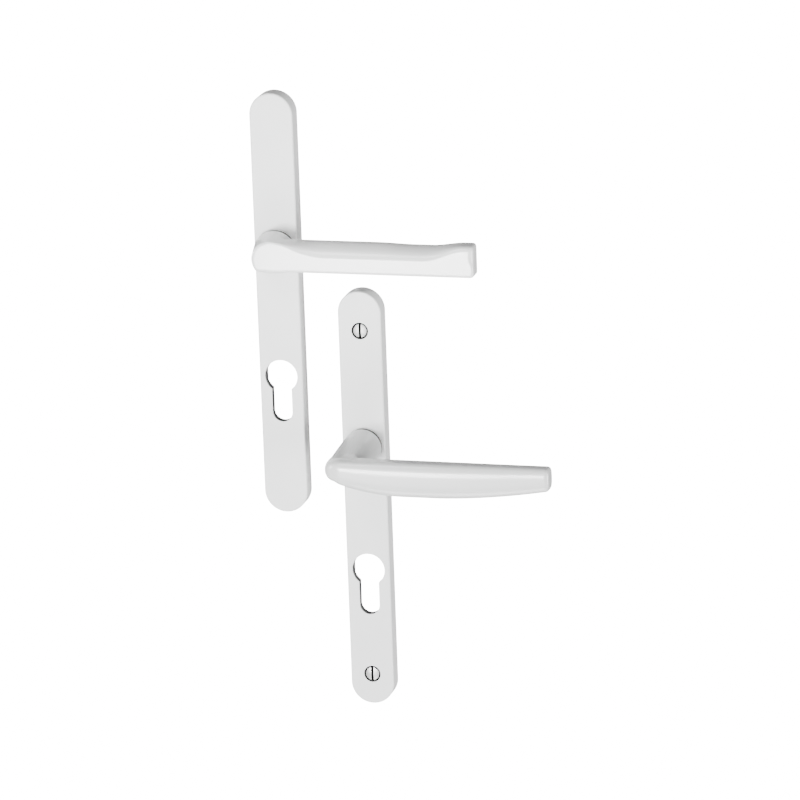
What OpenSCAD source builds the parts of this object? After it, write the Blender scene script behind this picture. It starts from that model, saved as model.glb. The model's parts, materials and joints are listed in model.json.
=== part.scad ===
// Lever handle set on long narrow backplates, for a door with a euro profile cylinder lock.
// Two halves side by side, as laid out for display: the outside half, with a flat lever and
// no visible fixings, and the inside half, with a cranked lever and two slotted screws.
//
// Frame: the door face is the plane Y = 0 and every front looks towards -Y. Z is up and the
// levers point towards +X. The origin is the outside half's spindle axis on the door face.
// "Height" below always means distance in front of the door face, that is, -Y.

/* [Backplates] */
// Width of both backplates
plate_w = 24; // [23:0.5:26]
// Depth of both backplates, door face to front face
plate_t = 10; // [10:0.5:11]
// Spindle axis to the top end of a backplate
plate_up = 87; // [84:1:95]
// Spindle axis to the bottom end of a backplate
plate_down = 147; // [144:1:155]
// Thickness of a backplate's front wall
front_wall = 2.6; // [2.4:0.1:2.8]
// Thickness of a backplate's side wall
side_wall = 2; // [1.8:0.1:2.2]
// Rounding of the front edge
edge_r = 0.8; // [0.5:0.1:1]

/* [Lock and fixings] */
// Spindle axis down to the centre of the cylinder
cylinder_drop = 70; // [70:1:72]
// Diameter of the round part of the cylinder cut-out
cutout_d = 18; // [17.6:0.1:18]
// Width of the slot part of the cylinder cut-out
slot_w = 11; // [10.6:0.1:11.4]
// Height of the whole cylinder cut-out
cutout_h = 34.5; // [34:0.1:35]
// Spindle axis up to the upper fixing
fixing_up = 65; // [64:0.5:66]
// Upper to lower fixing
fixing_pitch = 195; // [194:0.5:196]
// Reach of the fixing screws behind the door face
screw_reach = 28; // [22:1:34]
// Reach of the threaded posts behind the door face
post_reach = 20; // [16:1:22]
// Reach of the spindle pieces behind the door face
spindle_reach = 28; // [22:1:34]

/* [Outside lever] */
// Radius of the hub at the backplate
flat_hub_r = 12; // [11.5:0.1:12.2]
// Spindle axis to the tip of the lever
flat_reach = 114; // [104:1:124]
// Height of the lever's back face
flat_back = 19; // [18.5:0.1:19.5]
// Height of the lever's front face
flat_front = 29.5; // [29:0.1:31]

/* [Inside lever] */
// Radius of the hub at the backplate
crank_hub_r = 10.6; // [10.2:0.1:11]
// Spindle axis to the tip of the lever
crank_reach = 113; // [104:1:124]
// Height of the grip's centre line
crank_centre = 50.5; // [48:0.5:54]
// Thickness of the grip, front to back
crank_depth = 13; // [12:0.2:14]

/* [Layout] */
// Outside spindle axis to inside spindle axis, sideways
half_right = 45; // [42:1:60]
// Outside spindle axis to inside spindle axis, downwards
half_down = 108; // [100:1:120]

/* [Hidden] */
$fn = 64;
over = 1;                                   // how far a cutter runs past what it cuts
bite = 0.2;                                 // how far joined shapes run into each other

// Stack of pieces on each lever's neck, as heights above the door face
mount_t = 1.6;                              // mounting plate
neck_end = 0.6;
ring_lo = 1.8;                              // retaining ring
ring_hi = 2.7;
groove_slack = 0.05;
driver_lo = 2.8;                            // driver
driver_hi = 4;
spring_lo = 4.15;                           // return spring
washer_lo = 6.8;                            // thrust washer
washer_hi = 7.3;
bush_lo = plate_t - front_wall;             // guide bush, flush with the wall's back
flange_t = 2;
hub_lo = plate_t + flange_t + 0.1;          // back face of the lever's hub
hub_rim = 2;                                // straight rim of the hub, before it blends away

// Neck and the pieces around it, as radii
neck_r = 7;
neck_flat = 6.2;                            // neck axis to each of its two flats
groove_r = 6.3;
run = 0.05;                                 // running clearance of the neck in its bush
washer_run = 0.1;                           // and in the washer
neck_hole_play = 0.5;                       // and in the mounting plate
key_slack = 0.03;                           // driver on the neck's flats
bush_r = 9;
flange_inset = 0.4;                         // bush's flange, inside the rim of the hub above it
ring_r = 8.4;
ring_gap = 3;
washer_r = 9.2;
driver_r = 8.6;

// Return spring: a torsion spring around the neck, one leg on the driver, one on the plate
wire_r = 0.45;
coil_r = 8.2;
coil_rise = 0.95;                           // rise of the coil for each full turn
leg_tip_r = 12.4;
finger_tip_r = 12.6;                        // driver's finger and the stops it meets
finger_root_r = 9.7;
finger_w = 3;
lug_w = 2.6;
rest_angle = -20;                           // finger at rest, clockwise from straight up
swing = 40;                                 // how far the lever turns
stop_gap = 0.15;
stop_w = 2.4;
stop_hi = 4.4;
anchor_hi = 5.5;
leg_play = 0.05;                            // spring's legs to the tabs they lean on

// Fixings
thread_r = 2.5;                             // M5 outside
tap_r = 2.1;                                // M5 inside
tap_depth = 18;
shank_r = 2.3;                              // plain part of a screw, inside the backplate
stud_slack = 0.03;                          // around a post's end in the cover and its plate
stud_gap = 0.4;                             // from a post's end to the bottom of its hole
screw_hole_r = 2.75;
boss_r = 6;
post_r = 4;
head_r = 4.25;
head_lo = 7.2;
head_rim = 9.4;                             // head's edge, below its dome
head_dome = 0.5;
head_seat_r = 4.7;
driver_slot_w = 1.2;
driver_slot_hi = 8.6;
grub_r = 2.5;
grub_hex_r = 1.45;
grub_hex_depth = 2.5;
mount_slack = 0.2;                          // mounting plate to the cover's side wall

// Square spindle pieces
spindle_w = 7;                              // solid bar, across flats
sleeve_w = 8;                               // sleeve, across flats
slit_w = 1.2;
socket_slack = 0.1;

fixing_down = fixing_pitch - fixing_up;
hollow_w = plate_w - 2 * side_wall;
slot_r = slot_w / 2;
slot_drop = cutout_h - cutout_d / 2 - slot_r;
mount_w = hollow_w - 2 * mount_slack;

// ---------- helpers ----------

// Draws a flat shape in X and Z, and makes it solid between two heights
module between(lo, hi) {
    translate([0, -lo, 0]) rotate([90, 0, 0]) linear_extrude(hi - lo) children();
}

// Round bar along Y between two heights, about a point in X and Z
module rod(lo, hi, r, x = 0, z = 0) {
    translate([x, -lo, z]) rotate([90, 0, 0]) cylinder(h = hi - lo, r = r);
}

// Puts an outside piece where the inside half stands
module on_inside_half() {
    translate([half_right, 0, -half_down]) children();
}

// Turns a piece clockwise about the spindle axis, as seen from the front
module clockwise(angle) {
    rotate([0, angle, 0]) children();
}

// Outline of a backplate, drawn smaller by inset
module plate_outline(inset) {
    r = plate_w / 2 - inset;
    top = plate_up - plate_w / 2;
    bottom = -plate_down + plate_w / 2;
    translate([-r, bottom]) square([2 * r, top - bottom]);
    translate([0, top]) circle(r);
    translate([0, bottom]) circle(r);
}

// Half of a backplate's cross-section, with its rounded front edge
module half_section() {
    square([plate_w / 2, plate_t - edge_r]);
    square([plate_w / 2 - edge_r, plate_t]);
    translate([plate_w / 2 - edge_r, plate_t - edge_r]) circle(edge_r);
}

module rounded_slab() {
    top = plate_up - plate_w / 2;
    bottom = -plate_down + plate_w / 2;
    for (z = [top, bottom]) {
        translate([0, 0, z]) rotate([90, 0, 0]) rotate_extrude() half_section();
    }
    for (side = [0, 1]) {
        translate([0, 0, bottom]) mirror([side, 0, 0]) linear_extrude(top - bottom)
            mirror([0, 1]) half_section();
    }
}

// Cut-out for the euro profile cylinder
module euro_cutout() {
    translate([0, -cylinder_drop]) circle(cutout_d / 2);
    translate([0, -cylinder_drop - slot_drop]) circle(slot_r);
    translate([-slot_r, -cylinder_drop - slot_drop]) square([slot_w, slot_drop]);
}

// Does something at both fixings
module at_fixings() {
    for (z = [fixing_up, -fixing_down]) {
        translate([0, 0, z]) children();
    }
}

// ---------- backplates ----------

// Hollow shell with bosses behind the fixings
module cover_shell() {
    difference() {
        union() {
            difference() {
                rounded_slab();
                between(-over, bush_lo) plate_outline(side_wall);
            }
            at_fixings() rod(mount_t, bush_lo + over, boss_r);
        }
        rod(bush_lo - over, plate_t + over, bush_r);
        between(bush_lo - over, plate_t + over) euro_cutout();
        children();
    }
}

module outside_cover_plate() {
    color("gainsboro") cover_shell()
        at_fixings() rod(mount_t - over, bush_lo, thread_r);
}

module inside_cover_plate() {
    color("whitesmoke") on_inside_half() cover_shell() {
        at_fixings() rod(mount_t - over, plate_t, screw_hole_r);
        at_fixings() rod(head_lo, plate_t + over, head_seat_r);
    }
}

// Bent-up stop beside one end of the finger's swing
module finger_stop(side) {
    start = finger_w / 2 + stop_gap;
    clockwise(side > 0 ? rest_angle + swing : rest_angle)
        between(mount_t - bite, stop_hi)
            translate([side > 0 ? start : -start - stop_w, finger_root_r])
                square([stop_w, finger_tip_r - finger_root_r]);
}

// Bent-up tab that holds the spring's fixed leg, below the neck
module spring_anchor() {
    between(mount_t - bite, anchor_hi)
        translate([-wire_r - leg_play - stop_w, -leg_tip_r])
            square([stop_w, leg_tip_r - finger_root_r]);
}

// Steel plate behind the lever's neck, with the stops and the spring anchor
module upper_mounting_plate(hole_r) {
    bottom = -18;
    top = plate_up - plate_w / 2;
    difference() {
        between(0, mount_t) translate([-mount_w / 2, bottom]) square([mount_w, top - bottom]);
        rod(-over, mount_t + over, neck_r + neck_hole_play);
        rod(-over, mount_t + over, hole_r, 0, fixing_up);
    }
    finger_stop(-1);
    finger_stop(1);
    spring_anchor();
}

// Small steel foot around the lower fixing, inside the cover's round end
module lower_mounting_plate(hole_r) {
    length = 22;
    difference() {
        between(0, mount_t) intersection() {
            plate_outline(side_wall + mount_slack);
            translate([-plate_w / 2, -fixing_down - length / 2]) square([plate_w, length]);
        }
        rod(-over, mount_t + over, hole_r, 0, -fixing_down);
    }
}

module outside_upper_mounting_plate() {
    color("darkgray") upper_mounting_plate(thread_r);
}

module outside_lower_mounting_plate() {
    color("darkgray") lower_mounting_plate(thread_r);
}

module inside_upper_mounting_plate() {
    color("darkgray") on_inside_half() upper_mounting_plate(screw_hole_r);
}

module inside_lower_mounting_plate() {
    color("darkgray") on_inside_half() lower_mounting_plate(screw_hole_r);
}

// ---------- fixings ----------

// Posts screwed into the outside cover from behind, with a thread for the fixing screws
module outside_threaded_posts() {
    color("silver") at_fixings() difference() {
        union() {
            rod(-post_reach, 0, post_r);
            rod(-over, bush_lo - stud_gap, thread_r - stud_slack);
        }
        rod(-post_reach - over, -post_reach + tap_depth, tap_r);
    }
}

// Slotted screws with a slightly domed head
module inside_fixing_screws() {
    dome_r = (head_r * head_r + head_dome * head_dome) / (2 * head_dome);
    color("silver") on_inside_half() at_fixings() difference() {
        union() {
            rod(-screw_reach, -over, thread_r);
            rod(-screw_reach + over, head_lo + over, shank_r);
            rod(head_lo, head_rim, head_r);
            intersection() {
                rod(head_rim - bite, head_rim + over, head_r);
                translate([0, -head_rim - head_dome + dome_r, 0]) rotate([90, 0, 0]) sphere(dome_r);
            }
        }
        between(driver_slot_hi, plate_t + over) square([driver_slot_w, 3 * head_r], center = true);
    }
}

// ---------- pieces around the neck ----------

// Bush with a flange that carries a hub of radius hub_r
module guide_bush(hub_r) {
    difference() {
        union() {
            rod(bush_lo, plate_t, bush_r);
            rod(plate_t, plate_t + flange_t, hub_r - flange_inset);
        }
        rod(bush_lo - over, plate_t + flange_t + over, neck_r + run);
    }
}

// Outline of the neck where it carries the driver: a circle with two flats
module keyed_outline(slack) {
    intersection() {
        circle(neck_r + slack);
        square([2 * (neck_flat + slack), 3 * neck_r], center = true);
    }
}

// Keyed disc with a finger that meets the stops, and a lug on the finger that pushes the spring
module driver() {
    root = driver_r - over;
    lug_gap = 0.2;
    lug_back = 0.3;
    between(driver_lo, driver_hi) difference() {
        union() {
            circle(driver_r);
            rotate(-rest_angle) translate([-finger_w / 2, root]) square([finger_w, finger_tip_r - root]);
        }
        keyed_outline(key_slack);
    }
    clockwise(rest_angle) between(driver_hi - bite, washer_lo - lug_gap)
        translate([-lug_w / 2, finger_root_r])
            square([lug_w, finger_tip_r - lug_back - finger_root_r]);
}

module thrust_washer() {
    difference() {
        rod(washer_lo, washer_hi, washer_r);
        rod(washer_lo - over, washer_hi + over, neck_r + washer_run);
    }
}

// Snap ring in the neck's groove, open at the bottom
module retaining_ring() {
    bore_slack = 0.02;
    difference() {
        rod(ring_lo, ring_hi, ring_r);
        rod(ring_lo - over, ring_hi + over, groove_r + bore_slack);
        between(ring_lo - over, ring_hi + over) translate([-ring_gap / 2, -2 * ring_r])
            square([ring_gap, 2 * ring_r]);
    }
}

// Centre line of the spring: a moving leg, the coil, and a fixed leg. Angles run clockwise
// from straight up, and the coil runs the other way, so that turning the lever winds it up.
leg_offset = asin((lug_w / 2 + wire_r + leg_play) / finger_root_r);
moving_angle = rest_angle + leg_offset;
fixed_angle = -180 - 360;
coil_steps = 40;
coil_sweep = fixed_angle - moving_angle;
coil_top = spring_lo + wire_r + coil_rise * abs(coil_sweep) / 360;

function around(angle, r, height) = [r * sin(angle), -height, r * cos(angle)];

function spring_path() = concat(
    [for (r = [leg_tip_r, (leg_tip_r + coil_r) / 2, coil_r + wire_r]) around(moving_angle, r, coil_top)],
    [for (i = [1 : coil_steps - 1])
        around(moving_angle + coil_sweep * i / coil_steps, coil_r,
               coil_top - coil_rise * abs(coil_sweep) / 360 * i / coil_steps)],
    [for (r = [coil_r + wire_r, (leg_tip_r + coil_r) / 2, leg_tip_r])
        around(fixed_angle, r, spring_lo + wire_r)]
);

function unit(v) = v / norm(v);

// Direction of a path at each of its points
function heading(path, i) = unit(path[min(i + 1, len(path) - 1)] - path[max(i - 1, 0)]);

// Round wire along a path that stays nearly square to Y
module wire(path, r, sides) {
    count = len(path);
    points = [for (i = [0 : count - 1]) let(
        along = heading(path, i),
        up = unit([0, 1, 0] - along * along[1]),
        out = cross(along, up))
        for (k = [0 : sides - 1]) path[i] + r * (cos(360 * k / sides) * out + sin(360 * k / sides) * up)];
    skin = [for (i = [0 : count - 2], k = [0 : sides - 1]) let(n = (k + 1) % sides)
        [i * sides + k, i * sides + n, (i + 1) * sides + n, (i + 1) * sides + k]];
    caps = [
        [for (k = [sides - 1 : -1 : 0]) k],
        [for (k = [0 : sides - 1]) (count - 1) * sides + k]
    ];
    polyhedron(points, concat(skin, caps), convexity = 6);
}

module return_spring() {
    wire(spring_path(), wire_r, 8);
}

module outside_guide_bush() {
    color("dimgray") guide_bush(flat_hub_r);
}

module inside_guide_bush() {
    color("dimgray") on_inside_half() guide_bush(crank_hub_r);
}

module outside_driver() {
    color("slategray") driver();
}

module inside_driver() {
    color("slategray") on_inside_half() driver();
}

module outside_thrust_washer() {
    color("ivory") thrust_washer();
}

module inside_thrust_washer() {
    color("ivory") on_inside_half() thrust_washer();
}

module outside_retaining_ring() {
    color("gray") retaining_ring();
}

module inside_retaining_ring() {
    color("gray") on_inside_half() retaining_ring();
}

module outside_return_spring() {
    color("lightsteelblue") return_spring();
}

module inside_return_spring() {
    color("lightsteelblue") on_inside_half() return_spring();
}

// ---------- spindle pieces and grub screws ----------

flat_socket_hi = 24;                        // end of the square socket in each lever
crank_socket_hi = 34;
socket_gap = 0.5;                           // from a spindle piece to the socket's end
flat_grub_at = 15.5;                        // height of each grub screw
crank_grub_at = 17;
grub_gap = 0.02;                            // around a grub screw and at its tip

module square_bar(lo, hi, w) {
    between(lo, hi) square([w, w], center = true);
}

module outside_spindle() {
    color("darkgray") square_bar(-spindle_reach, flat_socket_hi - socket_gap, spindle_w);
}

// Slit square tube that passes the solid spindle
module inside_spindle_sleeve() {
    color("darkgray") on_inside_half() difference() {
        square_bar(-spindle_reach, crank_socket_hi - socket_gap, sleeve_w);
        square_bar(-spindle_reach - over, crank_socket_hi + over, spindle_w + socket_slack);
        between(-spindle_reach - over, crank_socket_hi + over) translate([0, -slit_w / 2])
            square([sleeve_w, slit_w]);
    }
}

// Grub screw from below, pressing on a square of width w
module grub_screw(at, w, length) {
    tip = -w / 2 - grub_gap;
    translate([0, -at, tip - length]) difference() {
        cylinder(h = length, r = grub_r - grub_gap);
        translate([0, 0, -over]) cylinder(h = grub_hex_depth + over, r = grub_hex_r, $fn = 6);
    }
}

module grub_hole(at) {
    translate([0, -at, -2 * flat_hub_r]) cylinder(h = 2 * flat_hub_r, r = grub_r);
}

module outside_grub_screw() {
    color("dimgray") grub_screw(flat_grub_at, spindle_w, 6);
}

module inside_grub_screw() {
    color("dimgray") on_inside_half() grub_screw(crank_grub_at, sleeve_w, 5);
}

// ---------- levers ----------

function within(t) = min(max(t, 0), 1);

function ease(t) = let(c = within(t)) c * c * (3 - 2 * c);

function mix(a, b, t) = a + (b - a) * t;

// Solid through a row of rings with equal numbers of points
module loft(rings) {
    n = len(rings[0]);
    last = len(rings) - 1;
    skin = [for (i = [0 : last - 1], k = [0 : n - 1]) let(m = (k + 1) % n)
        [i * n + k, i * n + m, (i + 1) * n + m, (i + 1) * n + k]];
    caps = [
        [for (k = [n - 1 : -1 : 0]) k],
        [for (k = [0 : n - 1]) last * n + k]
    ];
    polyhedron([for (ring = rings) each ring], concat(skin, caps), convexity = 4);
}

// Neck behind the hub: bearing length, groove, and flats for the driver
module neck() {
    difference() {
        rod(neck_end, hub_lo + over, neck_r);
        difference() {
            rod(ring_lo - groove_slack, ring_hi + groove_slack, neck_r + over);
            rod(ring_lo - over, ring_hi + over, groove_r);
        }
        for (side = [-1, 1]) {
            between(neck_end - over, driver_hi + bite)
                translate([side * (neck_flat + neck_r), 0]) square(2 * neck_r, center = true);
        }
    }
}

// Flat lever: height of the front face's upper edge along the lever, scooped between its ends
flat_bottom = -6.5;
flat_back_top = 9.6;
flat_tip_round = 2.5;
flat_edge = 1.4;

function flat_face_top(x) =
    mix(mix(9.8, 4.8, ease((x - 2) / 30)), 10.6, ease((x - flat_reach + 28) / 24));

function flat_top(x) = flat_back_top - 0.6 * ease((x - 60) / 20) + 1.8 * ease((x - flat_reach + 24) / 18);

// Cross-section of the flat lever, drawn in by a given amount
function flat_ring(x, inset) = let(
    lo = flat_back + inset, hi = flat_front - inset,
    bottom = flat_bottom + inset, face_top = flat_face_top(x) - inset, top = flat_top(x) - inset,
    e = flat_edge)
    [for (p = [
        [lo, bottom + e], [lo + e, bottom], [hi - e, bottom], [hi - e / 3, bottom + e / 3],
        [hi, bottom + e], [hi, face_top - e], [hi - e / 3, face_top + e / 4],
        [mix(hi, lo, 0.35), mix(face_top, top, 0.55)], [mix(hi, lo, 0.7), mix(face_top, top, 0.9)],
        [lo + e, top], [lo, top - e]
    ]) [x, -p[0], p[1]]];

module flat_grip() {
    stations = 22;
    round_steps = 4;
    body = [for (i = [0 : stations]) flat_ring((flat_reach - flat_tip_round) * i / stations, 0)];
    tip = [for (i = [1 : round_steps]) let(a = 80 * i / round_steps)
        flat_ring(flat_reach - flat_tip_round * (1 - sin(a)), flat_tip_round * 0.7 * (1 - cos(a)))];
    loft(concat(body, tip));
}

// Head of the flat lever: from a round hub to the end of the flat face
module flat_head() {
    rod(hub_lo, hub_lo + hub_rim, flat_hub_r);
    hull() {
        rod(hub_lo + hub_rim - bite, hub_lo + hub_rim + over, flat_hub_r - bite, $fn = 32);
        between(flat_front - 3, flat_front - 1.2) flat_head_outline(0);
        between(flat_front - 3, flat_front) flat_head_outline(1);
    }
}

// Outline of the head at the front: a disc cut off level with the lever's lower edge
module flat_head_outline(inset) {
    forward = 1.6;
    r = 10;
    intersection() {
        translate([forward, 0]) circle(r - inset, $fn = 32);
        translate([-2 * r, flat_bottom + inset]) square([4 * r, 2 * r]);
    }
}

module outside_lever() {
    color("white") difference() {
        union() {
            neck();
            flat_head();
            flat_grip();
        }
        square_bar(neck_end - over, flat_socket_hi, spindle_w + socket_slack);
        grub_hole(flat_grub_at);
    }
}

// Cranked lever: its grip has a straight upper edge, and a lower edge with a belly
crank_top = 5.2;
crank_nose = 10;                            // how far the knuckle reaches past the spindle axis
crank_nose_round = 9;
crank_tip_round = 3;
belly_start = -5;                           // where the lower edge starts to drop, and how far
belly_run = 38;
belly_drop = 6.4;
belly_end = 50;                             // where it starts to rise again
knuckle_bottom = -7.5;

function crank_bottom(x) = let(
    drop = 1 - pow(1 - within((x - belly_start) / belly_run), 2),
    rise = pow(within((x - belly_end) / (crank_reach - belly_end)), 1.8))
    knuckle_bottom + belly_drop * (rise - drop);

// Rounding of the two ends, as the share of the full section
function crank_swell(x) = let(
    nose = min((x + crank_nose) / crank_nose_round, 1),
    tip = min((crank_reach - x) / crank_tip_round, 1))
    sqrt(1 - pow(1 - nose, 2)) * mix(0.55, 1, sqrt(max(1 - pow(1 - tip, 2), 0)));

// Rounded cross-section of the grip
function crank_ring(x, sides) = let(
    swell = max(crank_swell(x), 0.12),
    middle = (crank_top + crank_bottom(x)) / 2,
    half_z = (crank_top - crank_bottom(x)) / 2 * swell,
    half_y = crank_depth / 2 * swell * mix(1, 0.82, ease((x - 40) / 70)),
    squareness = 0.56)
    [for (k = [0 : sides - 1]) let(c = cos(360 * k / sides), s = sin(360 * k / sides))
        [x, -crank_centre - half_y * sign(c) * pow(abs(c), squareness),
         middle + half_z * sign(s) * pow(abs(s), squareness)]];

module crank_grip() {
    nose_steps = 8;
    body_steps = 16;
    tip_steps = 5;
    body_start = -crank_nose + crank_nose_round;
    body_end = crank_reach - crank_tip_round;
    nose = [for (i = [0 : nose_steps - 1]) -crank_nose + crank_nose_round * (1 - cos(90 * i / nose_steps))];
    body = [for (i = [0 : body_steps]) mix(body_start, body_end, i / body_steps)];
    tip = [for (i = [1 : tip_steps]) body_end + crank_tip_round * sin(85 * i / tip_steps)];
    loft([for (x = concat(nose, body, tip)) crank_ring(x, 24)]);
}

// Neck from the round hub to the knuckle
module crank_neck() {
    knuckle_r = 6.2;
    rod(hub_lo, hub_lo + hub_rim, crank_hub_r);
    hull() {
        rod(hub_lo + hub_rim - bite, hub_lo + hub_rim + over, crank_hub_r - bite, $fn = 32);
        for (x = [knuckle_r - crank_nose + 0.3, 5]) {
            translate([x, -crank_centre + 1, -1.4]) sphere(knuckle_r, $fn = 32);
        }
    }
}

module inside_lever() {
    color("white") on_inside_half() difference() {
        union() {
            neck();
            crank_neck();
            crank_grip();
        }
        square_bar(neck_end - over, crank_socket_hi, sleeve_w + socket_slack);
        grub_hole(crank_grub_at);
    }
}

outside_cover_plate();
outside_upper_mounting_plate();
outside_lower_mounting_plate();
outside_threaded_posts();
outside_guide_bush();
outside_lever();
outside_driver();
outside_return_spring();
outside_thrust_washer();
outside_retaining_ring();
outside_grub_screw();
outside_spindle();
inside_cover_plate();
inside_upper_mounting_plate();
inside_lower_mounting_plate();
inside_fixing_screws();
inside_guide_bush();
inside_lever();
inside_driver();
inside_return_spring();
inside_thrust_washer();
inside_retaining_ring();
inside_grub_screw();
inside_spindle_sleeve();
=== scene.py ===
"""The looks of a lever handle set: two hollow backplates with their levers and fixings.

Shapes are drawn in millimetres from the spindle axis of their half: x to the right, height in
front of the door face, z up. build() moves them into the frame, in metres.
"""
import json
import math

import bmesh
import bpy
import numpy as np
from mathutils import Matrix, Vector


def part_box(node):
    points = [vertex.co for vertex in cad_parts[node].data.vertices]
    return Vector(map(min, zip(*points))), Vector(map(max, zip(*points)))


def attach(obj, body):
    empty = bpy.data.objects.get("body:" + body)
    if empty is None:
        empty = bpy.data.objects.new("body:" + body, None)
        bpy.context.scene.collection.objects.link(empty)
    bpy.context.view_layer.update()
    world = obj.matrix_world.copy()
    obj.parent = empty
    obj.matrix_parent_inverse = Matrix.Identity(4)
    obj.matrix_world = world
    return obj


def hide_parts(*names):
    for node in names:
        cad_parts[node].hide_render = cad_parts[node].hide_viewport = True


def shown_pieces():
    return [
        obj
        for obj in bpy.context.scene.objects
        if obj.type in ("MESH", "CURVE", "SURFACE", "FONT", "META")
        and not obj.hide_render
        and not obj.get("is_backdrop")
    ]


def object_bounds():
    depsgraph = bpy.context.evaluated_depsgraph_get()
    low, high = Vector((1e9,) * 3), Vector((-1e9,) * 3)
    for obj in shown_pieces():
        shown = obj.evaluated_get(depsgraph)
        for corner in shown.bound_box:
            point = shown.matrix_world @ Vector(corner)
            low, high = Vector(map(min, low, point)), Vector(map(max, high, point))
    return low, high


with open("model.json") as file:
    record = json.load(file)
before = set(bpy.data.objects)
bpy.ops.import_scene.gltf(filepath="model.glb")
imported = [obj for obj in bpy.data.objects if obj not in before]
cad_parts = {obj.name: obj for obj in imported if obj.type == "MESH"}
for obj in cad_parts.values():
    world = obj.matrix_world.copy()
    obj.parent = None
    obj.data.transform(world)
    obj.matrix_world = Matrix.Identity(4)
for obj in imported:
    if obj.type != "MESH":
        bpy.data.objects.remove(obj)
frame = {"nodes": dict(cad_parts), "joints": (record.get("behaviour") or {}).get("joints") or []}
cad_lo, cad_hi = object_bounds()

MM = 0.001
HALVES = ("outside", "inside")
AXIS = {joint["name"].split("_")[0]: Vector(joint["pos_m"]) for joint in frame["joints"]}

# Backplate, from the frame
plate_lo, plate_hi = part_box("outside_cover_plate")
PLATE_W = (plate_hi.x - plate_lo.x) / MM
PLATE_T = (plate_hi.y - plate_lo.y) / MM
PLATE_UP = plate_hi.z / MM
PLATE_DOWN = -plate_lo.z / MM
SIDE_WALL = 2
CEILING = PLATE_T - 2.6
EDGE_R = 0.8
HOLE_EDGE_R = 0.2
CORNER_R = 0.2                               # inside, between the walls and the ceiling
BURR = 0.25                                  # small rounding on most other edges
SAME_PLACE = 0.001                           # points closer than this are one point

# Openings and fixings
CYLINDER_DROP = 70
CUTOUT_R = 9
SLOT_R = 5.5
SLOT_DROP = 20
COLLAR = 0.7                                 # behind the front wall, around the cut-out
COLLAR_LO = 5.5
FIXINGS = (65, -130)
BOSS_LO = 1.6
BOSS_R = 6
THREAD_R = 2.5
THREAD_PITCH = 0.8
THREAD_DEPTH = 0.36
SCREW_HOLE_R = 2.75
HEAD_SEAT_R = 4.6
HEAD_LO = 7.2
HEAD_RIM = 9.4
HEAD_R = 3.9
SCREW_SLOT_FLOOR = 7.8
SCREW_SLOT_W = 1.3

# Bush and hub
BUSH_R = 9
FLANGE_R = {"outside": 11.6, "inside": 10.2}
FLANGE_HI = PLATE_T + 2
HUB_LO = FLANGE_HI + 0.1
NECK_R = 7
NECK_FLAT = 6.2
NECK_END = 0.6
SOCKET = {"outside": 3.55, "inside": 4.05}   # half its width
GROOVE = (1.75, 2.75)
GROOVE_R = 6.3
FLATS_HI = 4.2


# ---------- mesh helpers ----------

def ease(t):
    t = np.clip(t, 0, 1)
    return t * t * (3 - 2 * t)


def mix(a, b, t):
    return a + (b - a) * t


def circle(r, height, z=0, count=64):
    angles = [2 * math.pi * k / count for k in range(count)]
    return [(r * math.cos(a), height, z + r * math.sin(a)) for a in angles]


def small_circle(r, height, z):
    return circle(r, height, z, count=32)


def arc(r, start, end, steps, height, z=0):
    angles = [mix(start, end, k / steps) for k in range(steps + 1)]
    return [(r * math.cos(a), height, z + r * math.sin(a)) for a in angles]


def stadium(inset, height):
    """Outline of a backplate, drawn in by inset."""
    r = PLATE_W / 2 - inset
    top = arc(r, 0, math.pi, 48, height, PLATE_UP - PLATE_W / 2)
    bottom = arc(r, math.pi, 2 * math.pi, 48, height, -PLATE_DOWN + PLATE_W / 2)
    return top + bottom


def euro_outline(grow, height):
    """Outline of the cylinder cut-out, drawn larger by grow."""
    big, small = CUTOUT_R + grow, SLOT_R + grow
    shoulder = math.acos(small / big)
    head = arc(big, -shoulder, math.pi + shoulder, 56, height, -CYLINDER_DROP)
    foot = arc(small, math.pi, 2 * math.pi, 28, height, -CYLINDER_DROP - SLOT_DROP)
    return head + foot


def add_loop(bm, ring):
    return [bm.verts.new((x, -height, z)) for x, height, z in ring]


def bridge(bm, a, b):
    for i in range(len(a)):
        j = (i + 1) % len(a)
        bm.faces.new((a[i], a[j], b[j], b[i]))


def add_skin(bm, rings, closed=False):
    """Skin through a row of rings with equal numbers of points. Returns its end loops."""
    loops = [add_loop(bm, ring) for ring in rings]
    for a, b in zip(loops, loops[1:]):
        bridge(bm, a, b)
    if closed:
        bridge(bm, loops[-1], loops[0])
    return loops[0], loops[-1]


def fill(bm, loops):
    """Flat face inside the first loop, with the other loops as its holes."""
    edges = [bm.edges.get((loop[i - 1], loop[i])) for loop in loops for i in range(len(loop))]
    bmesh.ops.triangle_fill(bm, use_beauty=True, use_dissolve=False, edges=edges)


def rounding(r, steps, outline, inset, height):
    """Rings around a rounded edge, from the wall at inset to the face at height."""
    turns = [math.pi / 2 * k / steps for k in range(steps + 1)]
    return [outline(inset + r * (1 - math.cos(a)), height - r * (1 - math.sin(a))) for a in turns]


def build(name, bm, half, sharp=math.radians(30)):
    """Makes an object of a mesh drawn in millimetres about a half's spindle axis. Points at the
    same place are joined, which drops the empty faces between them."""
    bmesh.ops.remove_doubles(bm, verts=bm.verts, dist=SAME_PLACE)
    bmesh.ops.recalc_face_normals(bm, faces=bm.faces)
    bm.transform(Matrix.Translation(AXIS[half]) @ Matrix.Scale(MM, 4))
    mesh = bpy.data.meshes.new(name)
    bm.to_mesh(mesh)
    bm.free()
    mesh.shade_smooth()
    mesh.set_sharp_from_angle(angle=sharp)
    obj = bpy.data.objects.new(name, mesh)
    bpy.context.scene.collection.objects.link(obj)
    return obj


def even_normals(obj):
    """Lets large flat faces keep their own shading beside small rounded edges."""
    modifier = obj.modifiers.new("normals", "WEIGHTED_NORMAL")
    modifier.keep_sharp = True
    modifier.weight = 100


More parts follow.
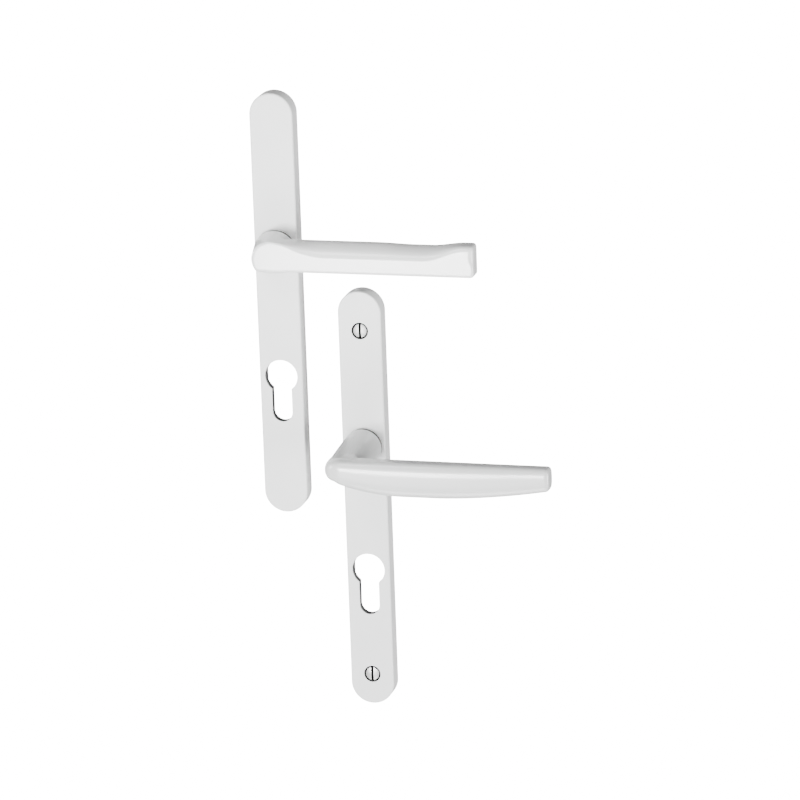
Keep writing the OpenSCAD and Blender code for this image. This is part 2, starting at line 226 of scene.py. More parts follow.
def declare(obj, body, slot, material, *nodes):
    """Puts a finished piece on its body, in place of the CAD nodes that it stands for."""
    obj.data.materials.clear()
    obj.data.materials.append(material)
    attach(obj, body)
    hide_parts(*nodes)


def repaint(obj, half, material, chosen):
    """Gives another material to chosen faces. They are judged by x, height and z in millimetres
    from the half's spindle axis, and by how far they face along Y."""
    obj.data.materials.append(material)
    for face in obj.data.polygons:
        x, y, z = (face.center - AXIS[half]) / MM
        if chosen(x, -y, z, abs(face.normal.y)):
            face.material_index = len(obj.data.materials) - 1


# ---------- materials ----------

class Surface:
    """A Principled material, with short ways to give it procedural detail."""

    def __init__(self, name, **numbers):
        self.material = bpy.data.materials.new(name)
        self.material.use_nodes = True
        self.nodes = self.material.node_tree.nodes
        self.links = self.material.node_tree.links
        self.shader = self.nodes["Principled BSDF"]
        for socket, value in numbers.items():
            self.shader.inputs[socket.replace("_", " ")].default_value = value
        self.place = self.nodes.new("ShaderNodeTexCoord").outputs["Object"]
        self.normal = None

    def noise(self, scale, detail=2.0, stretch=(1, 1, 1)):
        """Noise with so many features to a metre, along each axis times stretch."""
        mapping = self.nodes.new("ShaderNodeMapping")
        mapping.inputs["Scale"].default_value = stretch
        self.links.new(self.place, mapping.inputs["Vector"])
        noise = self.nodes.new("ShaderNodeTexNoise")
        noise.inputs["Scale"].default_value = scale
        noise.inputs["Detail"].default_value = detail
        self.links.new(mapping.outputs["Vector"], noise.inputs["Vector"])
        return noise.outputs["Fac"]

    def spread(self, factor, low, high):
        """Noise spread evenly from low to high."""
        node = self.nodes.new("ShaderNodeMapRange")
        node.inputs["From Min"].default_value = 0.3
        node.inputs["From Max"].default_value = 0.7
        node.inputs["To Min"].default_value = low
        node.inputs["To Max"].default_value = high
        self.links.new(factor, node.inputs["Value"])
        return node.outputs["Result"]

    def colour(self, factor, first, second):
        node = self.nodes.new("ShaderNodeMix")
        node.data_type = "RGBA"
        node.inputs["A"].default_value = (*first, 1)
        node.inputs["B"].default_value = (*second, 1)
        self.links.new(self.spread(factor, 0, 1), node.inputs["Factor"])
        self.links.new(node.outputs["Result"], self.shader.inputs["Base Color"])

    def roughness(self, factor, low, high):
        self.links.new(self.spread(factor, low, high), self.shader.inputs["Roughness"])

    def bump(self, height, strength, depth):
        """Adds a bump of a given depth in metres to those already there."""
        node = self.nodes.new("ShaderNodeBump")
        node.inputs["Strength"].default_value = strength
        node.inputs["Distance"].default_value = depth
        self.links.new(height, node.inputs["Height"])
        if self.normal:
            self.links.new(self.normal, node.inputs["Normal"])
        self.normal = node.outputs["Normal"]
        self.links.new(self.normal, self.shader.inputs["Normal"])


def powder_coat():
    """Satin white powder coat with a fine, even grain."""
    s = Surface("powder_coat", Specular_IOR_Level=0.5, Coat_Weight=0.12, Coat_Roughness=0.3)
    s.colour(s.noise(45), (0.775, 0.785, 0.785), (0.805, 0.81, 0.805))
    s.roughness(s.noise(900), 0.33, 0.41)
    s.bump(s.noise(1300, 3), 0.35, 0.00003)
    s.bump(s.noise(260), 0.2, 0.00002)
    return s.material


def lever_coat(half, tone_with_painted_light):
    """White on a lever, smoother and glossier than the plates', with a faint orange peel. Its tone is
    partly painted light: the same white is set lighter on the outside lever and darker on the inside one.
    """
    s = Surface(f"{half}_lever_coat", Specular_IOR_Level=0.5, Coat_Weight=0.6, Coat_Roughness=0.16)
    s.colour(s.noise(40), (tone_with_painted_light - 0.01, tone_with_painted_light, tone_with_painted_light), (tone_with_painted_light + 0.015, tone_with_painted_light + 0.02, tone_with_painted_light + 0.015))
    s.roughness(s.noise(700), 0.3, 0.38)
    s.bump(s.noise(420, 2), 0.25, 0.00003)
    return s.material


def zinc_plate():
    """Zinc-plated sheet steel, with its blotchy crystals and a rolling direction."""
    s = Surface("zinc_plate", Metallic=1.0)
    s.colour(s.noise(380, 4), (0.50, 0.52, 0.55), (0.66, 0.67, 0.68))
    s.roughness(s.noise(520, 3), 0.3, 0.48)
    s.bump(s.noise(900, 2, (1, 1, 0.06)), 0.25, 0.00003)
    return s.material


def turned_steel():
    """Bright steel with fine turning marks."""
    s = Surface("turned_steel", Metallic=1.0)
    s.colour(s.noise(700, 2), (0.5, 0.5, 0.495), (0.6, 0.6, 0.59))
    s.roughness(s.noise(1500, 2, (0.2, 1, 0.2)), 0.4, 0.5)
    s.bump(s.noise(3500, 1, (0.05, 1, 0.05)), 0.2, 0.00001)
    return s.material


def drawn_steel():
    """Cold-drawn spindle steel: long streaks and a slightly darker skin."""
    s = Surface("drawn_steel", Metallic=1.0)
    s.colour(s.noise(500, 3, (1, 0.05, 1)), (0.40, 0.41, 0.42), (0.56, 0.56, 0.57))
    s.roughness(s.noise(600, 3), 0.3, 0.5)
    s.bump(s.noise(1600, 2, (1, 0.03, 1)), 0.4, 0.00003)
    return s.material


def spring_steel():
    """Oil-tempered spring wire and stamped ring, dark and smooth."""
    s = Surface("spring_steel", Metallic=1.0)
    s.colour(s.noise(900, 2), (0.22, 0.22, 0.24), (0.34, 0.34, 0.36))
    s.roughness(s.noise(800, 2), 0.25, 0.4)
    s.bump(s.noise(2500, 2), 0.2, 0.00001)
    return s.material


def black_steel():
    """Blackened grub screws, with a thin oily film."""
    s = Surface("black_steel", Metallic=0.6, Coat_Weight=0.3, Coat_Roughness=0.25)
    s.colour(s.noise(900, 3), (0.03, 0.03, 0.035), (0.07, 0.07, 0.075))
    s.roughness(s.noise(900, 2), 0.35, 0.55)
    s.bump(s.noise(2200, 2), 0.3, 0.00002)
    return s.material


def painted_cut_out_shade():
    """Painted shade: dull dark grey on the walls of the cylinder cut-out, standing in for the shade
    inside it.
    """
    s = Surface("painted_cut_out_shade", Metallic=0.4, Specular_IOR_Level=0.2)
    s.colour(s.noise(300), (0.1, 0.1, 0.103), (0.15, 0.15, 0.15))
    s.roughness(s.noise(500), 0.6, 0.75)
    s.bump(s.noise(800), 0.3, 0.00003)
    return s.material


def painted_slot_shade():
    """Painted shade: near-black in the slots of the screws and around their heads, standing in for shade
    and dimming their reflections.
    """
    s = Surface("painted_slot_shade", Specular_IOR_Level=0.15)
    s.colour(s.noise(400, 3), (0.008, 0.008, 0.009), (0.018, 0.018, 0.018))
    s.roughness(s.noise(500), 0.6, 0.8)
    s.bump(s.noise(900), 0.3, 0.00003)
    return s.material


def dark_nylon():
    """Black moulded nylon with a fine spark-eroded grain."""
    s = Surface("dark_nylon", Specular_IOR_Level=0.4)
    s.colour(s.noise(500, 2), (0.018, 0.018, 0.019), (0.03, 0.03, 0.031))
    s.roughness(s.noise(1200, 2), 0.5, 0.65)
    s.bump(s.noise(3000, 2), 0.3, 0.00003)
    return s.material


def pale_nylon():
    """Natural nylon, slightly milky."""
    s = Surface("pale_nylon", Specular_IOR_Level=0.45, Subsurface_Weight=0.25, Subsurface_Scale=0.001)
    s.colour(s.noise(400, 2), (0.66, 0.64, 0.58), (0.74, 0.73, 0.68))
    s.roughness(s.noise(900, 2), 0.4, 0.55)
    s.bump(s.noise(1800, 2), 0.2, 0.00002)
    return s.material


# ---------- backplates ----------

def hole_rings(outline, lo):
    """Rings of a hole from the front face, over a rounded edge, down its wall to lo."""
    r, steps = HOLE_EDGE_R, 3
    turns = [math.pi / 2 * k / steps for k in range(steps + 1)]
    edge = [outline(r * (1 - math.sin(a)), PLATE_T - r * (1 - math.cos(a))) for a in turns]
    return edge + [outline(0, lo)]


def round_hole(r, z=0):
    return lambda grow, height: circle(r + grow, height, z)


def cut_out():
    """Cylinder cut-out, down its collar and back up the collar's outside."""
    return hole_rings(euro_outline, COLLAR_LO) + [
        euro_outline(COLLAR, COLLAR_LO), euro_outline(COLLAR, CEILING)
    ]


def screw_seat(z):
    """Counterbored hole for a screw, down its boss and back up the boss's outside."""
    seat = hole_rings(round_hole(HEAD_SEAT_R, z), HEAD_LO)
    return seat + [
        circle(r, height, z)
        for r, height in ((SCREW_HOLE_R, HEAD_LO), (SCREW_HOLE_R, BOSS_LO),
                          (BOSS_R - BURR, BOSS_LO), (BOSS_R, BOSS_LO + BURR), (BOSS_R, CEILING))
    ]


def blind_boss(z):
    """Boss on the ceiling, with a blind hole from behind."""
    return [
        circle(r, height, z)
        for r, height in ((THREAD_R, CEILING - 0.2), (THREAD_R, BOSS_LO + BURR),
                          (THREAD_R + BURR, BOSS_LO), (BOSS_R - BURR, BOSS_LO),
                          (BOSS_R, BOSS_LO + BURR), (BOSS_R, CEILING))
    ]


def cover_shell(half):
    bm = bmesh.new()
    inner = rounding(CORNER_R, 4, stadium, SIDE_WALL, CEILING)[::-1]
    rim = [stadium(SIDE_WALL, BURR), stadium(SIDE_WALL - BURR, 0), stadium(BURR, 0), stadium(0, BURR)]
    ceiling, front = add_skin(bm, inner + rim + rounding(EDGE_R, 6, stadium, 0, PLATE_T))
    front_loops, ceiling_loops = [front], [ceiling]
    through = [hole_rings(round_hole(BUSH_R), CEILING), cut_out()]
    if half == "inside":
        through += [screw_seat(z) for z in FIXINGS]
    for rings in through:
        at_front, at_ceiling = add_skin(bm, rings)
        front_loops.append(at_front)
        ceiling_loops.append(at_ceiling)
    if half == "outside":
        for z in FIXINGS:
            end, at_ceiling = add_skin(bm, blind_boss(z))
            bm.faces.new(end)
            ceiling_loops.append(at_ceiling)
    fill(bm, front_loops)
    fill(bm, ceiling_loops)
    obj = build(f"{half}_backplate_cover", bm, half, math.radians(40))
    even_normals(obj)
    return obj


def in_cut_out(x, height, z, facing):
    """Walls of the cylinder cut-out, which get painted shade."""
    low = -CYLINDER_DROP - SLOT_DROP - SLOT_R
    near = abs(x) < CUTOUT_R + 0.1 and low - 0.1 < z < -CYLINDER_DROP + CUTOUT_R + 0.1
    return near and facing < 0.5 and CEILING - 0.5 < height < PLATE_T - 0.5


def in_seat(x, height, z, facing):
    """Walls and floors of the screws' seats, which get painted shade."""
    near = any(math.hypot(x, z - at) < HEAD_SEAT_R + 0.1 for at in FIXINGS)
    return near and HEAD_LO - 0.3 < height < PLATE_T - 0.5


# ---------- levers ----------

def smooth_max(a, b, k):
    """The larger of two fields, with the edge between them rounded over about k."""
    h = np.clip(0.5 + 0.5 * (a - b) / k, 0, 1)
    return mix(b, a, h) + k * h * (1 - h)


def smooth_min(a, b, k):
    return -smooth_max(-a, -b, k)


FLAT_REACH = 114
FLAT_BOTTOM = -6.5
FLAT_BACK = 19
FLAT_FRONT = 29.5


def superellipse(a, b, power):
    """1 on a unit circle for power 2, and on a rounder and rounder square above it."""
    return (np.abs(a) ** power + np.abs(b) ** power) ** (1 / power)


def grub_hole(x, height, z, at):
    """Less than 0 inside the hole for a grub screw, which comes from below."""
    return np.maximum(np.hypot(x, height - at) - THREAD_R, z + 3.5)


def socket(x, height, z, half_width, end):
    """Less than 0 inside the square socket for the spindle."""
    return np.maximum(np.maximum(np.abs(x), np.abs(z)) - half_width, height - end)


def flat_lever(x, height, z):
    """Field of the flat lever: less than 0 inside it. A round hub tapers to a flat front."""
    forward = (height - HUB_LO) / (FLAT_FRONT - HUB_LO)
    cone = np.hypot(x - 1.6 * forward, z) - mix(12, 10, forward)
    head = smooth_max(cone, mix(-12.2, FLAT_BOTTOM, forward) - z, 1.2)
    back_top = 9.6 - 0.6 * ease((x - 60) / 20) + 1.8 * ease((x - FLAT_REACH + 24) / 18)
    face_top = mix(mix(9.8, 4.4, ease((x - 2) / 30)), 10.6, ease((x - FLAT_REACH + 28) / 24))
    depth = np.clip((height - FLAT_BACK) / (FLAT_FRONT - FLAT_BACK), 0, 1)
    top = mix(back_top, face_top, depth ** 2.2)
    bar = smooth_max(z - top, FLAT_BOTTOM - z, 1.2)
    bar = smooth_max(bar, FLAT_BACK - height, 1.2)
    bar = np.maximum(smooth_max(bar, x - FLAT_REACH, 2.2), -x)
    front_edge = mix(1.3, 3, ease((z + 1) / 4) * ease((x - 8) / 10))
    body = smooth_max(smooth_min(head, bar, 1.6), height - FLAT_FRONT, front_edge)
    body = smooth_max(body, HUB_LO - height, 0.6)
    body = smooth_max(body, -grub_hole(x, height, z, 15.5), 0.3)
    return np.maximum(body, -socket(x, height, z, SOCKET["outside"], 24))


CRANK_REACH = 113
CRANK_TOP = 5.2
CRANK_NOSE = 10
CRANK_NOSE_ROUND = 9
CRANK_CENTRE = 50.5
CRANK_DEPTH = 13


def crank_lever(x, height, z):
    """Field of the cranked lever: a round neck, and a grip with a belly on its lower edge."""
    drop = 1 - (1 - np.clip((x + 5) / 38, 0, 1)) ** 2
    rise = np.clip((x - 50) / (CRANK_REACH - 50), 0, 1) ** 1.8
    half_z = (CRANK_TOP + 7.5 + 6.4 * (drop - rise)) / 2
    half_y = CRANK_DEPTH / 2 * mix(1, 0.82, ease((x - 40) / 70))
    across = superellipse((height - CRANK_CENTRE) / half_y, (z - CRANK_TOP + half_z) / half_z, 3.6)
    nose = np.maximum(CRANK_NOSE_ROUND - CRANK_NOSE - x, 0) / CRANK_NOSE_ROUND
    grip = (np.hypot(across, nose) - 1) * np.minimum(half_y, half_z)
    grip = smooth_max(grip, x - CRANK_REACH, 2.4)
    forward = np.clip((height - HUB_LO) / (CRANK_CENTRE - HUB_LO), 0, 1)
    half_x, half_up = mix(10.6, 7.2, forward), mix(10.6, 6.1, forward)
    neck = superellipse((x + 2.6 * forward) / half_x, (z + 1.1 * forward) / half_up, mix(2, 3.2, forward))
    neck = np.maximum((neck - 1) * half_up, height - CRANK_CENTRE)
    body = smooth_min(grip, neck, 3)
    body = smooth_max(body, HUB_LO - height, 0.6)
    body = smooth_max(body, -grub_hole(x, height, z, 17), 0.3)
    return np.maximum(body, -socket(x, height, z, SOCKET["inside"], 34))


def crossings(values, axis, shape):
    """Where the field changes sign along one axis, as sums of points and counts per cell."""
    a = np.take(values, range(values.shape[axis] - 1), axis)
    b = np.take(values, range(1, values.shape[axis]), axis)
    crossing = (a < 0) != (b < 0)
    part = np.where(crossing, a / np.where(crossing, a - b, 1), 0)
    index = np.stack(np.meshgrid(*[np.arange(n) for n in a.shape], indexing="ij"), -1).astype(float)
    index[..., axis] += part
    points, counts = np.zeros(shape + (3,)), np.zeros(shape)
    others = [k for k in range(3) if k != axis]
    for first in (0, 1):
        for second in (0, 1):
            window = [slice(None)] * 3
            window[others[0]] = slice(first, first + shape[others[0]])
            window[others[1]] = slice(second, second + shape[others[1]])
            window = tuple(window)
            counts += crossing[window]
            points += index[window] * crossing[window][..., None]
    return crossing, a < 0, points, counts


def quads_across(crossing, inside, cells, axis):
    """Faces around each grid edge that the surface crosses, all facing outwards."""
    u, v = (axis + 1) % 3, (axis + 2) % 3
    where = np.argwhere(crossing)
    limit = np.array(cells.shape)
    keep = (where[:, u] > 0) & (where[:, v] > 0) & (where[:, u] < limit[u]) & (where[:, v] < limit[v])
    where = where[keep]
    corners = []
    for du, dv in ((-1, -1), (0, -1), (0, 0), (-1, 0)):
        at = where.copy()
        at[:, u] += du
        at[:, v] += dv
        corners.append(cells[tuple(at.T)])
    quads = np.stack(corners, 1)
    outward = inside[tuple(where.T)]
    return np.where(outward[:, None], quads, quads[:, ::-1])


def surface_net(field, lo, hi, step):
    """Closed mesh of the surface where a field is 0, inside a box."""
    axes = [np.arange(a, b + step, step) for a, b in zip(lo, hi)]
    values = field(*np.meshgrid(*axes, indexing="ij"))
    shape = tuple(n - 1 for n in values.shape)
    points, counts, found = np.zeros(shape + (3,)), np.zeros(shape), []
    for axis in range(3):
        crossing, inside, some_points, some_counts = crossings(values, axis, shape)
        points += some_points
        counts += some_counts
        found.append((crossing, inside))
    cells = np.full(shape, -1)
    used = counts > 0
    cells[used] = np.arange(used.sum())
    vertices = np.array(lo) + step * points[used] / counts[used][:, None]
    quads = [quads_across(*found[axis], cells, axis) for axis in range(3)]
    return settle(field, vertices, step), np.concatenate(quads)


def settle(field, vertices, step):
    """Moves vertices onto the surface where the field is 0."""
    reach = 0.02
    for _ in range(5):
        value = field(*vertices.T)
        slope = np.stack([
            (field(*(vertices + reach * d).T) - field(*(vertices - reach * d).T)) / (2 * reach)
            for d in np.eye(3)
        ], 1)
        move = slope * (value / np.maximum((slope ** 2).sum(1), 0.05))[:, None]
        length = np.linalg.norm(move, axis=1, keepdims=True)
        vertices = vertices - move * np.minimum(1, step / 2 / np.maximum(length, 1e-9))
    return vertices


def build_lever(half, field, lo, hi):
    """The lever as one smooth mesh. The field takes heights, so y is turned round for it."""
    step = 0.5
    vertices, quads = surface_net(lambda x, y, z: field(x, -y, z), lo, hi, step)
    mesh = bpy.data.meshes.new("net")
    mesh.from_pydata(vertices.tolist(), [], quads.tolist())
    bm = bmesh.new()
    bm.from_mesh(mesh)
    bpy.data.meshes.remove(mesh)
    return build(f"{half}_lever_arm", bm, half, math.radians(50))


def neck_ring(r, flat, height, count=64):
    """Circle with two flats, left and right."""
    ring = circle(r, height, count=count)
    return [(min(max(x, -flat), flat), h, z) for x, h, z in ring]


def square_ring(half_width, height, count=64):
    """Square with its points in step with those of neck_ring."""
    ring = []
    for k in range(count):
        c, s = math.cos(2 * math.pi * k / count), math.sin(2 * math.pi * k / count)
        reach = half_width / max(abs(c), abs(s))
        ring.append((reach * c, height, reach * s))
    return ring


def lever_neck(half):
    """The machined neck behind the hub, with its groove, flats and square socket."""
    bm = bmesh.new()
    profile = (
        (NECK_R - BURR, NECK_FLAT - BURR, NECK_END), (NECK_R, NECK_FLAT, NECK_END + BURR),
        (NECK_R, NECK_FLAT, GROOVE[0]), (GROOVE_R, NECK_FLAT, GROOVE[0]),
        (GROOVE_R, NECK_FLAT, GROOVE[1]), (NECK_R, NECK_FLAT, GROOVE[1]),
        (NECK_R, NECK_FLAT, FLATS_HI), (NECK_R, NECK_R, FLATS_HI), (NECK_R, NECK_R, HUB_LO + 0.1),
    )
    rings = [neck_ring(*p) for p in profile]
    rings += [square_ring(SOCKET[half], height) for height in (HUB_LO + 0.1, NECK_END + BURR)]
    rings.append(square_ring(SOCKET[half] + BURR, NECK_END))
    add_skin(bm, rings, closed=True)
    return build(f"{half}_lever_neck", bm, half)


# ---------- fixings and small pieces ----------

def thread_rings(lo, hi, r, depth, z, count=32):
    """Rings along a thread, whose groove fades out at both ends. A negative depth cuts outwards."""
    steps = round(abs(hi - lo) / THREAD_PITCH * 8)
    rings = []
    for i in range(steps + 1):
        height = mix(lo, hi, i / steps)
        fade = min(1, 2 * i / 8, 2 * (steps - i) / 8)
        ring = []
        for k in range(count):
            turn = (height / THREAD_PITCH - k / count) % 1
            radius = r - depth * fade * (1 - abs(2 * turn - 1))
            a = 2 * math.pi * k / count
            ring.append((radius * math.cos(a), height, z + radius * math.sin(a)))
        rings.append(ring)
    return rings


def fixing_screws():
    """Two slotted screws with slightly domed heads."""
    tip, shank_lo, shank_r, dome, steps = -28, -3, 2.3, 0.5, 8
    bm = bmesh.new()
    for z in FIXINGS:
        rings = [small_circle(THREAD_R - 0.9, tip, z), small_circle(THREAD_R - 0.3, tip + 0.6, z)]
        rings += thread_rings(tip + 1, shank_lo, THREAD_R, THREAD_DEPTH, z)
        rings += [small_circle(shank_r, height, z) for height in (shank_lo + 0.3, HEAD_LO)]
        rings.append(small_circle(HEAD_R - BURR, HEAD_LO, z))
        rings += [small_circle(HEAD_R, height, z) for height in (HEAD_LO + BURR, HEAD_RIM - BURR)]
        for k in range(steps):
            r = (HEAD_R - BURR) * (1 - k / steps)
            rings.append(small_circle(r, HEAD_RIM + dome * (1 - (r / HEAD_R) ** 2), z))
        first, last = add_skin(bm, rings)
        bm.faces.new(first)
        bm.faces.new(last)
    screws = build("inside_slotted_screws", bm, "inside")
    return cut(screws, screw_slots())


def screw_slots():
    """Blocks that cut the slots of the screws."""
    top, length = 12, 12                      # well past the heads
    bm = bmesh.new()
    for z in FIXINGS:
        corners = [(-1, -1), (1, -1), (1, 1), (-1, 1)]
        rings = [
            [(x * SCREW_SLOT_W / 2, height, z + k * length / 2) for x, k in corners]
            for height in (SCREW_SLOT_FLOOR, top)
        ]
        for end in add_skin(bm, rings):
            bm.faces.new(end)
    return build("slots", bm, "inside")


def in_slot(x, height, z, facing):
    """Walls and floors of the slots, and the sides of the heads, which get painted shade."""
    slot = abs(x) < SCREW_SLOT_W / 2 + 0.01 and (facing < 0.5 or height < SCREW_SLOT_FLOOR + 0.01)
    side = min(math.hypot(x, z - at) for at in FIXINGS) > HEAD_R - 0.05
    return height > HEAD_LO and (slot or (side and height < HEAD_RIM - 0.2))


def cut(obj, cutter):
    """Takes one mesh out of another, and removes it."""
    modifier = obj.modifiers.new("cut", "BOOLEAN")
    modifier.operation = "DIFFERENCE"
    modifier.solver = "EXACT"
    modifier.object = cutter
    bpy.context.view_layer.update()
    depsgraph = bpy.context.evaluated_depsgraph_get()
    mesh = bpy.data.meshes.new_from_object(obj.evaluated_get(depsgraph))
    obj.modifiers.clear()
    obj.data = mesh
    bpy.data.objects.remove(cutter)
    mesh.shade_smooth()
    mesh.set_sharp_from_angle(angle=math.radians(30))
    return obj


def threaded_posts():
    """Two posts with a threaded stud in front and a threaded hole behind."""
    post_r, reach, hole_end, stud_hi = 4, 20, -2, 7
    bm = bmesh.new()
    for z in FIXINGS:
        rings = [small_circle(1.9, stud_hi, z), small_circle(THREAD_R - 0.3, stud_hi - 0.4, z)]
        rings += thread_rings(stud_hi - 0.5, 0.5, THREAD_R - 0.03, THREAD_DEPTH, z)
        outside = ((THREAD_R - 0.03, 0), (post_r - BURR, 0), (post_r, -BURR), (post_r, -reach + 0.5),
                   (post_r - 0.5, -reach), (THREAD_R + 0.2, -reach))
        rings += [small_circle(r, height, z) for r, height in outside]
        rings += thread_rings(-reach + 0.3, hole_end - 0.3, THREAD_R - THREAD_DEPTH, -THREAD_DEPTH, z)
        rings.append(small_circle(0.3, hole_end + 0.9, z))
        first, last = add_skin(bm, rings)
        bm.faces.new(first)
        bm.faces.new(last)
    return build("outside_fixing_posts", bm, "outside")


def bush(half):
    """Plastic bush in the plate, whose thin flange shows as a dark line under the hub."""
    flange_r = FLANGE_R[half]
    profile = (
        (NECK_R + 0.05, CEILING), (NECK_R + 0.05, FLANGE_HI - BURR), (NECK_R + 0.05 + BURR, FLANGE_HI),
        (flange_r - BURR, FLANGE_HI), (flange_r, FLANGE_HI - BURR), (flange_r, PLATE_T),
        (BUSH_R - 0.02, PLATE_T), (BUSH_R - 0.02, CEILING + BURR), (BUSH_R - BURR, CEILING),
    )
    bm = bmesh.new()
    add_skin(bm, [circle(r, height, count=96) for r, height in profile], closed=True)
    return build(f"{half}_bush", bm, half)


def spring_path():
    """Centre line of the torsion spring: a leg, the coil round the neck, and the other leg."""
    coil_r, leg_tip, rise, low, wire = 8.2, 12.4, 0.95, 4.15, 0.45
    start = math.radians(-20) + math.asin((1.3 + wire + 0.05) / 9.7)
    end = -3 * math.pi
    turns = (start - end) / (2 * math.pi)
    points, steps = [], 96

    def around(angle, r, height):
        return Vector((r * math.sin(angle), -height, r * math.cos(angle)))

    for k in range(6):
        points.append(around(start, mix(leg_tip, coil_r + wire, k / 5), low + wire + rise * turns))
    for k in range(1, steps):
        part = k / steps
        points.append(around(mix(start, end, part), coil_r, low + wire + rise * turns * (1 - part)))
    for k in range(6):
        points.append(around(end, mix(coil_r + wire, leg_tip, k / 5), low + wire))
    return points


def return_spring(half):
    """Round wire along the spring's centre line, with rounded ends."""
    path, sides, wire = spring_path(), 12, 0.45
    bm = bmesh.new()
    rings = []
    for i, point in enumerate(path):
        along = (path[min(i + 1, len(path) - 1)] - path[max(i - 1, 0)]).normalized()
        up = (Vector((0, 1, 0)) - along * along.y).normalized()
        out = along.cross(up)
        r = wire * (0.7 if i in (0, len(path) - 1) else 1)
        turns = [2 * math.pi * k / sides for k in range(sides)]
        ring = [point + r * (math.cos(a) * out + math.sin(a) * up) for a in turns]
        rings.append([(p.x, -p.y, p.z) for p in ring])
    for end in add_skin(bm, rings):
        bm.faces.new(end)
    return build(f"{half}_torsion_spring", bm, half, math.radians(50))


def soften(node, material):
    """Gives a CAD node that stays small rounded edges and its material."""
    obj = frame["nodes"][node]
    weld = obj.modifiers.new("weld", "WELD")
    weld.merge_threshold = 0.01 * MM
    bevel = obj.modifiers.new("edges", "BEVEL")
    bevel.width = 0.12 * MM
    bevel.segments = 2
    bevel.limit_method = "ANGLE"
    bevel.angle_limit = math.radians(35)
    bevel.harden_normals = True
    even_normals(obj)
    obj.data.materials.clear()
    obj.data.materials.append(material)


# ---------- stage ----------

def add_backdrop():
    """A white bowl around the object: a floor that turns up into a far wall. It is lit by itself,
    as an overlit studio sweep is, and it doesn't light the object."""
    s = Surface("backdrop", Roughness=0.9)
    s.colour(s.noise(3), (0.95, 0.95, 0.95), (0.97, 0.97, 0.97))
    s.shader.inputs["Emission Color"].default_value = (1, 1, 1, 1)
    s.shader.inputs["Emission Strength"].default_value = 17
    floor_z, wall_r, bend, top = -1.2, 5.0, 1.5, 4.0
    profile = [(0.01, floor_z), (wall_r - bend, floor_z)]
    profile += [(wall_r - bend + bend * math.sin(a), floor_z + bend - bend * math.cos(a))
                for a in (math.pi / 2 * k / 12 for k in range(1, 13))]
    profile.append((wall_r, top))
    bm = bmesh.new()
    loops = []
    for r, z in profile:
        angles = [2 * math.pi * k / 96 for k in range(96)]
        loops.append([bm.verts.new((r * math.cos(a), r * math.sin(a), z)) for a in angles])
    for a, b in zip(loops, loops[1:]):
        bridge(bm, a, b)
    bm.faces.new(loops[0])
    mesh = bpy.data.meshes.new("backdrop")
    bm.to_mesh(mesh)
    bm.free()
    mesh.shade_smooth()
    mesh.materials.append(s.material)
    obj = bpy.data.objects.new("backdrop", mesh)
    bpy.context.scene.collection.objects.link(obj)
    obj.visible_diffuse = False
    obj.visible_glossy = False
    obj.visible_shadow = False
    obj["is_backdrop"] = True


def add_light(name, place, target, size, power):
    data = bpy.data.lights.new(name, "AREA")
    data.shape = "RECTANGLE"
    data.size, data.size_y = size
    data.energy = power
    obj = bpy.data.objects.new(name, data)
    bpy.context.scene.collection.objects.link(obj)
    obj.location = place
    obj.rotation_euler = (Vector(target) - Vector(place)).to_track_quat("-Z", "Y").to_euler()
    obj.visible_camera = False
    return obj


def add_lights(centre):
    """A key softbox that the flat fronts mirror, one near the top, one low down, side fills, and
    one that lights the backs only."""
    upper_target = Vector((0, 0, 0.03))
    add_light("key_softbox", centre + Vector((-0.25, -1.01, -0.12)), centre, (0.25, 0.25), 16.5)
    add_light("upper_softbox", centre + Vector((-0.14, -0.28, 0.32)), upper_target, (0.12, 0.12), 0.85)
    add_light("low_softbox", centre + Vector((-0.1, -1, -1.2)), centre, (0.8, 0.6), 20)
    add_light("left_softbox", centre + Vector((-1.3, -0.35, 0.12)), centre, (0.2, 0.2), 18)
    add_light("right_softbox", centre + Vector((1.6, -0.5, -0.25)), centre, (0.8, 0.8), 46)
    back = add_light("back_softbox", centre + Vector((-0.3, 1.5, -0.2)), centre, (1, 1), 50)
    back.visible_glossy = False               # no bright outline around the front
    world = bpy.data.worlds.new("studio")
    world.use_nodes = True
    world.node_tree.nodes["Background"].inputs["Color"].default_value = (1, 1, 1, 1)
    world.node_tree.nodes["Background"].inputs["Strength"].default_value = 0.3
    bpy.context.scene.world = world


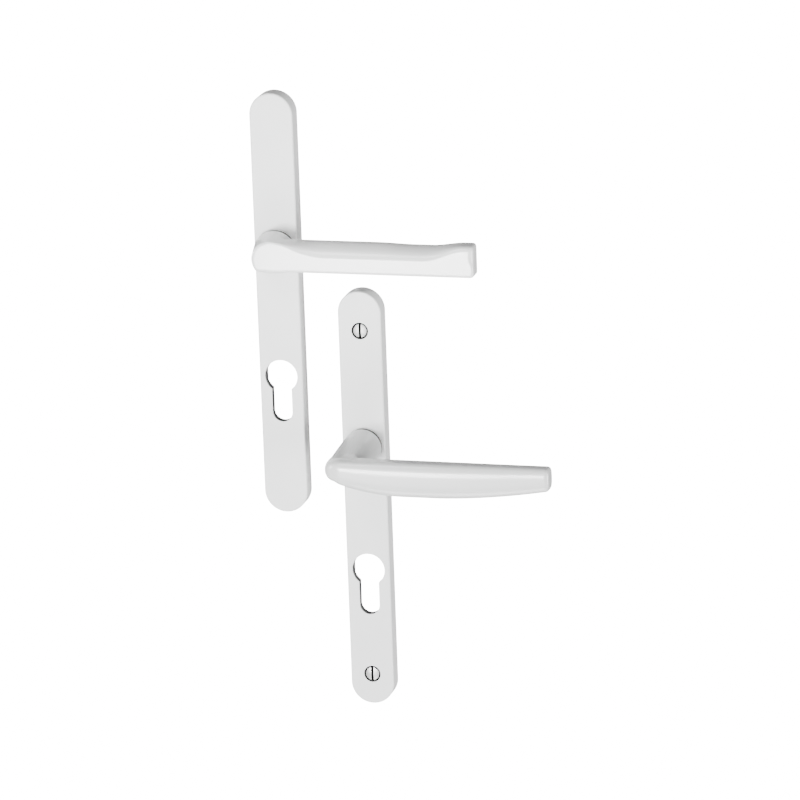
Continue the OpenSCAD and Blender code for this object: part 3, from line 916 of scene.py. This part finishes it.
def add_camera():
    """A long lens from the front, a little to the right and above, framed on the object."""
    azimuth, elevation, roll = math.radians(15), math.radians(16), math.radians(-2)
    margin = 0.7675                           # share of the picture's height that the object fills
    back = Vector((
        math.sin(azimuth) * math.cos(elevation),
        -math.cos(azimuth) * math.cos(elevation),
        math.sin(elevation),
    ))
    turn = (-back).to_track_quat("-Z", "Y").to_matrix() @ Matrix.Rotation(roll, 3, "Z")
    right, up = turn.col[0], turn.col[1]
    seen = np.array([v.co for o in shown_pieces() for v in o.data.vertices])
    across, along, deep = seen @ np.array(right), seen @ np.array(up), seen @ np.array(back)
    middle = [right * (across.min() + across.max()) / 2, up * (along.min() + along.max()) / 2,
              back * (deep.min() + deep.max()) / 2]
    data = bpy.data.cameras.new("camera")
    data.lens = 240
    half = math.atan(data.sensor_width / 2 / data.lens)
    distance = (along.max() - along.min()) / margin / 2 / math.tan(half)
    obj = bpy.data.objects.new("camera", data)
    bpy.context.scene.collection.objects.link(obj)
    obj.rotation_euler = turn.to_euler()
    obj.location = middle[0] + middle[1] + middle[2] + back * distance
    bpy.context.scene.camera = obj


# ---------- the object ----------

def add_pieces():
    plate_white = powder_coat()
    zinc, steel, drawn, spring = zinc_plate(), turned_steel(), drawn_steel(), spring_steel()
    black, dark, pale, cut_out_shade, slot_shade = black_steel(), dark_nylon(), pale_nylon(), painted_cut_out_shade(), painted_slot_shade()
    levers = {                                # field, two corners of a box around it, and coat, whose tone is painted light and shade: lighter outside, darker inside
        "outside": (flat_lever, (-14, -31, -14), (116, -10, 13), lever_coat("outside", 0.84)),
        "inside": (crank_lever, (-12, -59, -15), (115, -10, 13), lever_coat("inside", 0.66)),
    }
    for half in HALVES:
        handle = f"{half}_handle"
        cover = cover_shell(half)
        declare(cover, "backplates", "white_powder_coat", plate_white, f"{half}_cover_plate")
        # painted shade on the walls of the cylinder cut-out
        repaint(cover, half, cut_out_shade, in_cut_out)
        if half == "inside":
            # painted shade in the seats of the screws
            repaint(cover, half, slot_shade, in_seat)
        declare(bush(half), "backplates", "dark_nylon", dark, f"{half}_guide_bush")
        declare(return_spring(half), "backplates", "spring_steel", spring, f"{half}_return_spring")
        field, lo, hi, lever_white = levers[half]
        arm = build_lever(half, field, lo, hi)
        declare(arm, handle, "white_powder_coat_lever", lever_white, f"{half}_lever")
        neck = lever_neck(half)
        declare(neck, handle, "white_powder_coat_lever", lever_white, f"{half}_lever")
        for part in ("upper_mounting_plate", "lower_mounting_plate", "driver"):
            soften(f"{half}_{part}", zinc)
        soften(f"{half}_retaining_ring", spring)
        soften(f"{half}_thrust_washer", pale)
        soften(f"{half}_grub_screw", black)
    soften("outside_spindle", drawn)
    soften("inside_spindle_sleeve", drawn)
    screws = fixing_screws()
    declare(screws, "backplates", "screw_steel", steel, "inside_fixing_screws")
    # painted shade in the slots and on the sides of the screw heads
    repaint(screws, "inside", slot_shade, in_slot)
    declare(threaded_posts(), "backplates", "zinc_plated_steel", zinc, "outside_threaded_posts")


add_pieces()
add_backdrop()
add_lights((cad_lo + cad_hi) / 2)
add_camera()
